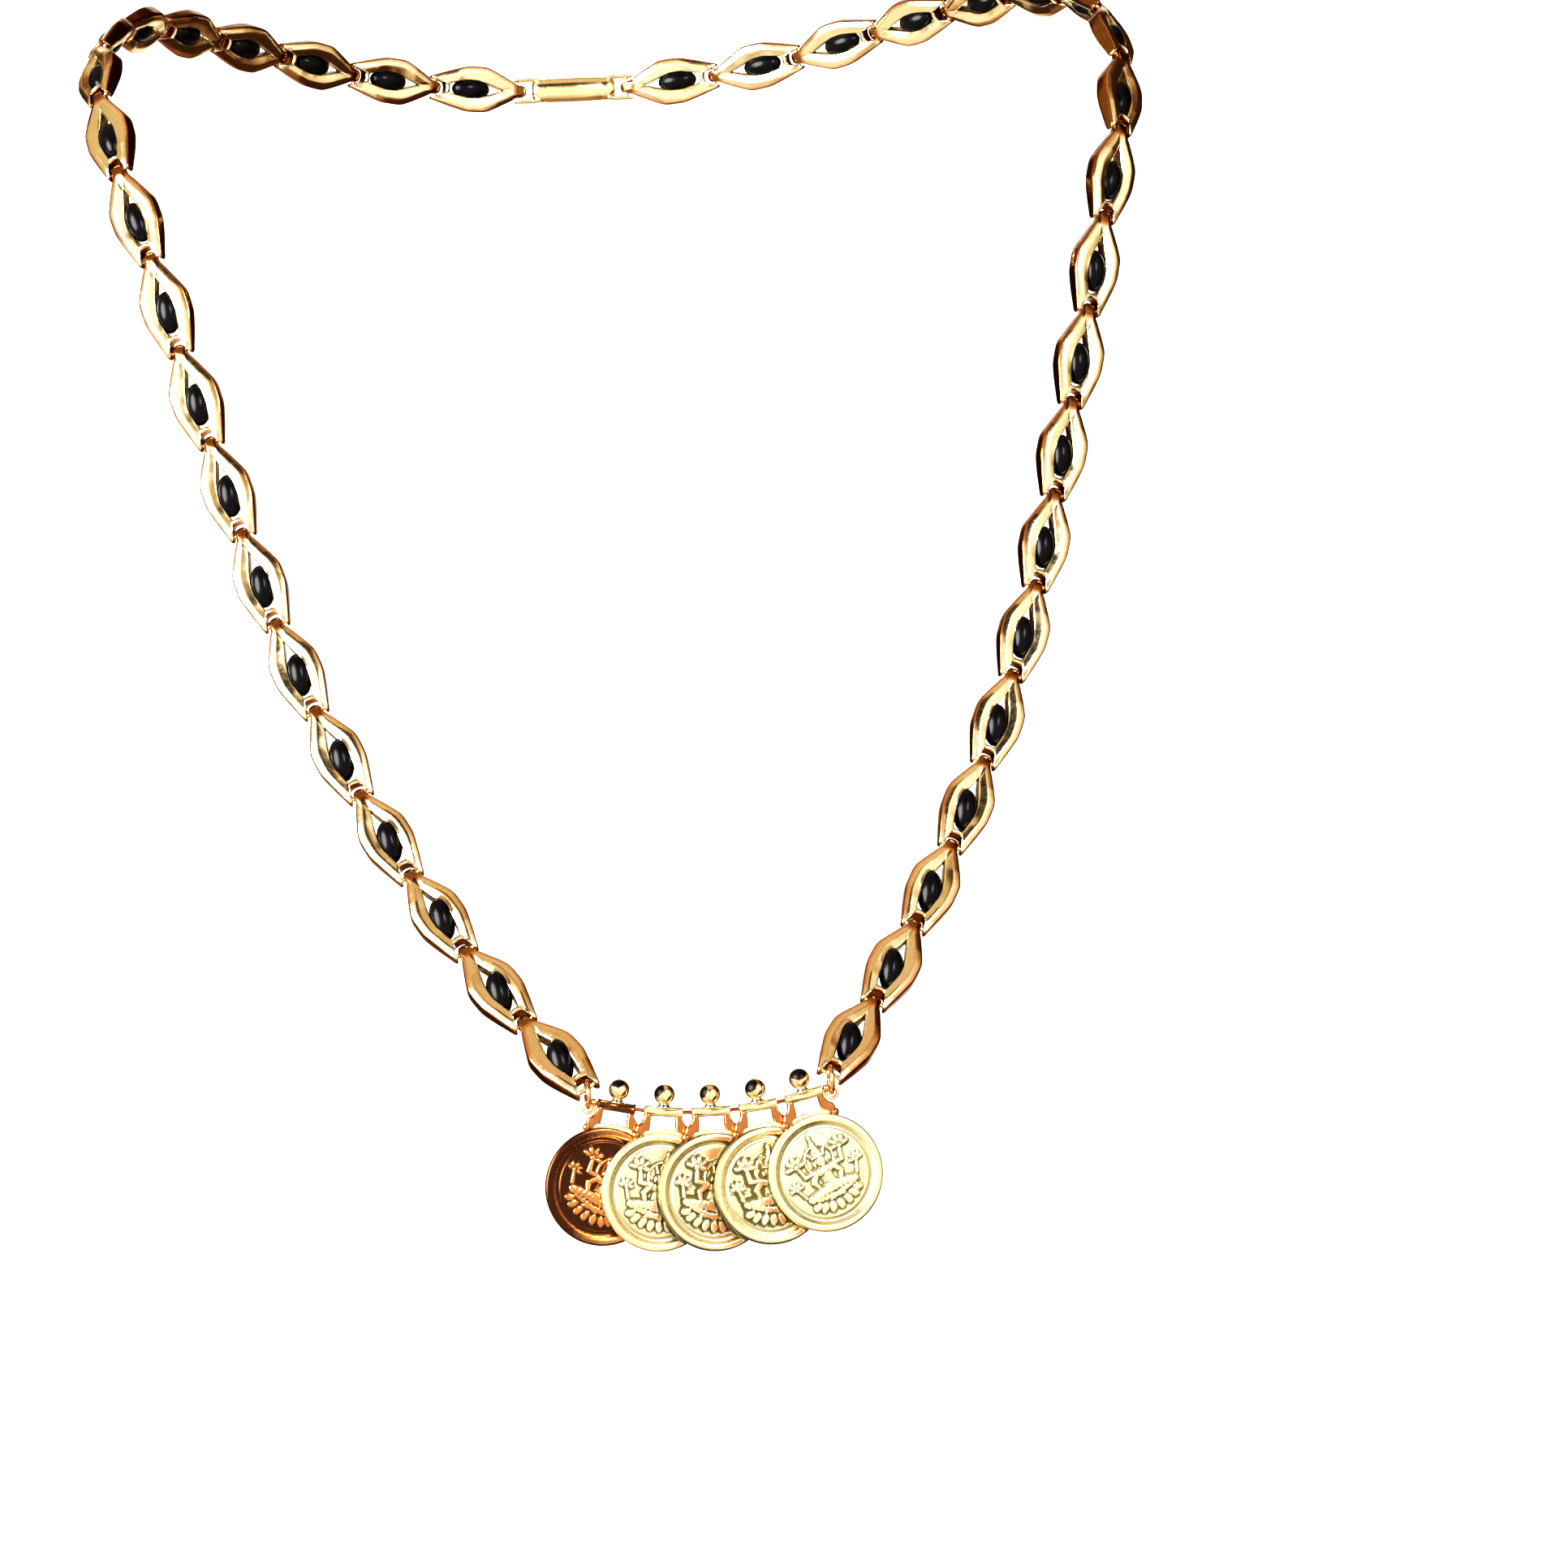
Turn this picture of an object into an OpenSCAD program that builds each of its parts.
// Mangalsutra: a worn loop of open gilt links, each round a black bead, with a row of coins at the front.
// Millimetres, +Z up. The wearer faces -Y, and the origin is where the clasp rests on the nape.

/* [Links] */
// Distance from one pivot to the next along the chain
link_pitch = 12; // [11.6:0.1:12.4]
// Widest part of a link, across its face
link_w = 6.1; // [5.8:0.1:6.6]
// Thickness of a link, from face to back
link_d = 2.4; // [2.2:0.1:2.8]
// Width of the tongue at a link's upper end
tongue_w = 1.6; // [1.4:0.1:1.7]
// Gap between the two prongs of the fork at a link's lower end
fork_gap = 2.2; // [2.1:0.1:2.4]
// Width over the tips of the two prongs
fork_w = 3.4; // [3.2:0.1:3.8]
// Diameter of the pivot pin across the fork
pin_d = 0.5; // [0.4:0.05:0.6]
// Diameter of the oversize eye in the tongue
eye_d = 1.15; // [1.05:0.05:1.2]

/* [Beads] */
// Width of a bead
bead_w = 2.9; // [2.8:0.1:3.2]
// Length of a bead
bead_l = 5.2; // [4.8:0.1:5.4]
// How far a front bead's length is turned from its link's slant towards upright, as a share of the way
bead_upright = 0.6; // [0:0.1:0.7]

/* [Coin row] */
// Diameter of a coin
coin_d = 13.7; // [13:0.1:14]
// Thickness of a coin at its rim
coin_t = 0.8; // [0.7:0.05:0.85]
// Radius of the curve in which the row wire sags
row_r = 50; // [48:1:54]
// Angle along that curve from one coin to the next
coin_step = 6.3; // [6.2:0.1:6.6]
// Turn of each coin about its own upright axis below its tube, its left edge forward
louvre = 9; // [8.5:0.5:9]
// Distance from the row wire to the middle of a coin
coin_drop = 9.3; // [9.1:0.1:9.5]
// Length of a coin's tube bail
bail_l = 4.4; // [4:0.1:4.4]
// Diameter of the row wire
wire_d = 0.44; // [0.4:0.02:0.46]
// Diameter of the ball on top of a bail
ball_d = 2.4; // [2.2:0.1:2.6]

/* [Hidden] */
$fn = 48;

gold = [0.86, 0.7, 0.36];
black = [0.03, 0.03, 0.035];

// Links of one half of the loop: in full view, then round the side of the neck, then on the nape
front_links = 10;
side_links = 5;
nape_links = 5;
half_links = front_links + side_links + nape_links;

// The way of one half of the loop from the coin row to the nape, in degrees at each distance along it:
// climb above the horizontal, heading seen from above (0 is the wearer's left, 90 is backwards), and the
// roll of the link's face about the chain
route = [
    // distance, climb, heading, roll
    [0, 39, 46, -53],
    [40, 55, 40, -38],
    [80, 70, 38, -26],
    [120, 75, 26, -6],
    [140, 54, 80, -47],
    [160, 22, 104, -48],
    [185, -1, 125, -34],
    [210, -9, 145, -18],
    [248, 0, 180, 0]
];
function way(i, column) = lookup(link_pitch * (i + 0.5), [for (mark = route) [mark[0], mark[column]]]);

// Each link's own axes: along the chain, out of the link's face, and across it
function along(i) = let (climb = way(i, 1), heading = way(i, 2))
    [cos(climb) * cos(heading), cos(climb) * sin(heading), sin(climb)];
function level(i) = [sin(way(i, 2)), -cos(way(i, 2)), 0];
function face(i) = cos(way(i, 3)) * level(i) + sin(way(i, 3)) * cross(along(i), level(i));
function across(i) = cross(face(i), along(i));

// The row wire sags from the two end rings, and its ends curl down into eyes round the rings
wire_eye_r = 0.66;
wire_eye_d = wire_d - 0.06;
ring_r = 1.5;
ring_wire_d = 0.5;
past_bail = 0.95;
wire_half = 2 * coin_step + asin((bail_l / 2 + past_bail) / row_r);
wire_end = [row_r * sin(wire_half), 0, row_r * (1 - cos(wire_half))];
wire_eye = wire_end + wire_eye_r * [sin(wire_half), 0, -cos(wire_half)];
ring_centre = wire_eye + [0, 0, ring_r];

// The lowest pivot hangs in the top of the end ring, and each pivot is one pitch on from the one below it
pin_in_ring = [0.1, 0.3, 0.6];
function pivot(i) = i == 0 ? ring_centre + pin_in_ring : pivot(i - 1) + link_pitch * along(i - 1);
clasp_half = pivot(half_links)[0];

// From the lowest point of the row wire to the nape, on the side of the clasp that touches the neck
clasp_d = 2.6;
clasp_gap = fork_gap + 0.3;
nape = [0, pivot(half_links)[1] - clasp_d / 2, pivot(half_links)[2]];

// Round ends of the prongs, the round saddle of the fork's slot, and the clearance of a bead in its seat
tip_r = 0.88;
saddle_r = 1.35;
bead_gap = 0.13;

module in_row_frame() {
    translate(-nape) children();
}

module on_side(side) {
    mirror([side < 0 ? 1 : 0, 0, 0]) children();
}

// Children stand along +Z with their face to +Y, and go to link i
module at_link(i) {
    x = across(i);
    y = face(i);
    z = along(i);
    p = pivot(i) + link_pitch / 2 * z;
    multmatrix([
        [x[0], y[0], z[0], p[0]],
        [x[1], y[1], z[1], p[1]],
        [x[2], y[2], z[2], p[2]],
        [0, 0, 0, 1]
    ]) children();
}

// A flat shape drawn across and along the link, made as thick as the link
module plate(thickness) {
    rotate([90, 0, 0]) linear_extrude(height = thickness, center = true) children();
}

// A flat shape drawn through the thickness and along the link, made as wide as the link
module side_plate(width) {
    rotate([90, 0, 90]) linear_extrude(height = width, center = true) children();
}

// A closed outline from its right half, listed upwards
module mirrored_outline(half) {
    polygon(concat(half, [for (k = [len(half) - 1:-1:0]) [-half[k][0], half[k][1]]]));
}

// An ellipsoid of revolution along Z, turned from a short half outline
oval_steps = 12;
module oval(width, length) {
    rotate_extrude() polygon([
        for (k = [0:oval_steps])
            let (a = 180 * k / oval_steps - 90) [width / 2 * cos(a), length / 2 * sin(a)]
    ]);
}

// A bead sits below the middle of its link. At the front it stands more upright than the link does, so it
// nods out of the link's face and tilts across it
bead_drop = 1;
function bead_length_way(i) = let (up = i < front_links ? bead_upright : 0)
    (1 - up) * along(i) + up * [0, 0, 1];
function bead_nod(i) = -asin(bead_length_way(i) * face(i) / norm(bead_length_way(i)));
function bead_tilt(i) = atan2(bead_length_way(i) * across(i), bead_length_way(i) * along(i));

module at_bead(i, grow = 0) {
    translate([0, 0, -bead_drop]) rotate([bead_nod(i), bead_tilt(i), 0])
        oval(bead_w + 2 * grow, bead_l + 2 * grow);
}

// The front view: two pointed prongs, a wide straight middle, and a shoulder that narrows to the tongue
half_pitch = link_pitch / 2;
prong_chamfer = [0.25, 0.5];
low_corner_z = -1.6;
high_corner_z = 0.9;
corner_cut = [0.1, 0.55];
shoulder_w = 2.5;
shoulder_z = half_pitch - 1.3;
tongue_root = 0.5;
module frame_outline() {
    prong_z = -half_pitch - tip_r;
    mirrored_outline([
        [fork_w / 2 - prong_chamfer[0], prong_z],
        [fork_w / 2, prong_z + prong_chamfer[1]],
        [link_w / 2 - corner_cut[0], low_corner_z - corner_cut[1]],
        [link_w / 2, low_corner_z],
        [link_w / 2, high_corner_z],
        [link_w / 2 - corner_cut[0], high_corner_z + corner_cut[1]],
        [shoulder_w / 2, shoulder_z]
    ]);
    translate([-tongue_w / 2, shoulder_z - tongue_root])
        square([tongue_w, half_pitch - shoulder_z + tongue_root]);
    translate([0, half_pitch]) circle(d = tongue_w);
}

// The see-through opening, a lens that is cut off above the crossbar and runs up into a narrow point
opening_half = 1.26;
opening_neck = [0.62, 1.9];
opening_top = 3.5;
opening_foot = 0.85;
crossbar_h = 0.6;
module opening_outline() {
    mirrored_outline([
        [opening_foot, -half_pitch + saddle_r + crossbar_h],
        [opening_half - 0.05, low_corner_z - 1],
        [opening_half, high_corner_z - 0.3],
        opening_neck,
        [0, opening_top]
    ]);
}

// The side view: thin round ends at both pivots, thickest in the middle
eye_end_r = 0.9;
full_depth_low = -3;
full_depth_high = 2.4;
module depth_outline() {
    mirrored_outline([
        [eye_end_r, -half_pitch],
        [link_d / 2, full_depth_low],
        [link_d / 2, full_depth_high],
        [eye_end_r, half_pitch]
    ]);
    translate([0, -half_pitch]) circle(r = tip_r);
    translate([0, half_pitch]) circle(r = eye_end_r);
}

// The end view: the rails' outer edges are bevelled front and back
rail_bevel = 0.7;
rail_edge = 0.5;
module bevel_outline() {
    mirrored_outline([
        [link_w / 2 - rail_bevel, -link_d / 2],
        [link_w / 2, -rail_edge / 2],
        [link_w / 2, rail_edge / 2],
        [link_w / 2 - rail_bevel, link_d / 2]
    ]);
}

// The fork's slot, which ends in a round saddle that clears the tongue of the link below
module slot_outline() {
    translate([-fork_gap / 2, -2 * half_pitch]) square([fork_gap, half_pitch]);
    translate([0, -half_pitch]) intersection() {
        circle(r = saddle_r);
        translate([-fork_gap / 2, 0]) square([fork_gap, saddle_r]);
    }
}

module across_pin(z, diameter, length) {
    translate([0, 0, z]) rotate([0, 90, 0]) cylinder(d = diameter, h = length, center = true);
}

// The fork's pin stops this far inside the outer faces of the prongs
pin_recess = 0.1;
module link(i, top_eye = true) {
    difference() {
        intersection() {
            plate(link_d) frame_outline();
            side_plate(link_w) depth_outline();
            linear_extrude(height = 2 * link_pitch, center = true) bevel_outline();
        }
        plate(2 * link_d) opening_outline();
        plate(2 * link_d) slot_outline();
        at_bead(i, bead_gap);
        if (top_eye) across_pin(half_pitch, eye_d, 2 * tongue_w);
    }
    across_pin(-half_pitch, pin_d, fork_w - 2 * pin_recess);
}

module link_node(side, i) {
    color(gold) in_row_frame() on_side(side) at_link(i) link(i);
}

module bead_node(side, i) {
    color(black) in_row_frame() on_side(side) at_link(i) at_bead(i);
}

// A stretch of links joined at their pivots, the last of them with a loose eye
module link_run(side, first, count) {
    color(gold) in_row_frame() on_side(side)
        for (i = [first:first + count - 1]) at_link(i) link(i, top_eye = i == first + count - 1);
}

module bead_run(side, first, count) {
    color(black) in_row_frame() on_side(side)
        for (i = [first:first + count - 1]) at_link(i) at_bead(i);
}

// One plain bar with a fork and a pin at each end, like the links' own
clasp_round_d = 4;
module clasp() {
    slot_l = 2 * (saddle_r + 1);
    color(gold) in_row_frame() translate([0, pivot(half_links)[1], pivot(half_links)[2]]) {
        difference() {
            intersection() {
                cube([2 * (clasp_half + tip_r), clasp_d, fork_w], center = true);
                rotate([0, 90, 0]) cylinder(d = clasp_round_d, h = 4 * clasp_half, center = true);
            }
            for (side = [-1, 1])
                translate([side * (clasp_half + 1), 0, 0])
                    cube([slot_l, 2 * clasp_d, clasp_gap], center = true);
        }
        for (side = [-1, 1])
            translate([side * clasp_half, 0, 0])
                cylinder(d = pin_d, h = fork_w - 2 * pin_recess, center = true);
    }
}

module end_ring(side) {
    color(gold) in_row_frame() on_side(side) translate(ring_centre) rotate([0, 90, 0])
        rotate_extrude() translate([ring_r, 0]) circle(d = ring_wire_d);
}

module row_wire() {
    color(gold) in_row_frame() {
        translate([0, 0, row_r]) rotate([90, 0, 0]) rotate([0, 0, -90 - wire_half])
            rotate_extrude(angle = 2 * wire_half) translate([row_r, 0]) circle(d = wire_d);
        for (side = [-1, 1]) on_side(side) translate(wire_eye) rotate([90, 0, 0])
            rotate_extrude() translate([wire_eye_r, 0]) circle(d = wire_eye_d);
    }
}

// The coin: a raised rim, a ring-shaped groove inside it, and a flat field
rim_w = 0.9;
groove_w = 0.75;
groove_deep = 0.2;
module coin_blank() {
    rotate([90, 0, 0]) difference() {
        cylinder(d = coin_d, h = coin_t, center = true);
        translate([0, 0, coin_t / 2 - groove_deep]) difference() {
            cylinder(d = coin_d - 2 * rim_w, h = coin_t);
            cylinder(d = coin_d - 2 * (rim_w + groove_w), h = coin_t);
        }
    }
}

// The two legs between the coin's shoulders and the tube, with a window between them
foot_half = 3.3;
foot_sink = 0.9;
foot_lobe = [0.2, 0.6];
leg_w = 0.75;
leg_thinner = 0.1;
window_half = 1.75;
module bail_legs() {
    foot_z = sqrt(pow(coin_d / 2, 2) - pow(foot_half, 2)) - foot_sink + 0.3;
    window_z = coin_drop - 0.5;
    plate(coin_t - leg_thinner) difference() {
        mirrored_outline([
            [foot_half, foot_z],
            [foot_half - foot_lobe[0], foot_z + foot_lobe[1]],
            [bail_l / 2, window_z],
            [bail_l / 2, coin_drop]
        ]);
        mirrored_outline([
            [window_half, coin_d / 2 - 0.1],
            [bail_l / 2 - leg_w, window_z],
            [bail_l / 2 - leg_w, coin_drop + 1]
        ]);
        circle(d = coin_d - 1);
    }
}

// Coin, legs, tube, collar and ball, soldered into one. The tube runs along the row wire, and the legs and the
// coin below it are turned
bail_d = 1.24;
bail_bore = 0.8;
collar_d = 1.5;
collar_low = 0.35;
collar_h = 1;
ball_rise = 2;
module coin(k) {
    color(gold) in_row_frame() translate([0, 0, row_r]) rotate([0, -(k - 3) * coin_step, 0])
        translate([0, 0, -row_r - coin_drop]) difference() {
            union() {
                rotate([0, 0, louvre]) {
                    coin_blank();
                    bail_legs();
                }
                across_pin(coin_drop, bail_d, bail_l);
                translate([0, 0, coin_drop + collar_low])
                    cylinder(d1 = collar_d, d2 = collar_d - 0.3, h = collar_h);
                translate([0, 0, coin_drop + ball_rise]) sphere(d = ball_d);
            }
            across_pin(coin_drop, bail_bore, 2 * bail_l);
        }
}

clasp();
row_wire();
end_ring(-1);  // end_ring_left
end_ring(1);  // end_ring_right
for (k = [1:5]) coin(k);
for (i = [0:front_links - 1]) {
    link_node(-1, i);
    link_node(1, i);
    bead_node(-1, i);
    bead_node(1, i);
}
link_run(-1, front_links, side_links);  // side_links_left
link_run(1, front_links, side_links);  // side_links_right
bead_run(-1, front_links, side_links);  // side_beads_left
bead_run(1, front_links, side_links);  // side_beads_right
link_run(-1, front_links + side_links, nape_links);  // nape_links_left
link_run(1, front_links + side_links, nape_links);  // nape_links_right
bead_run(-1, front_links + side_links, nape_links);  // nape_beads_left
bead_run(1, front_links + side_links, nape_links);  // nape_beads_right
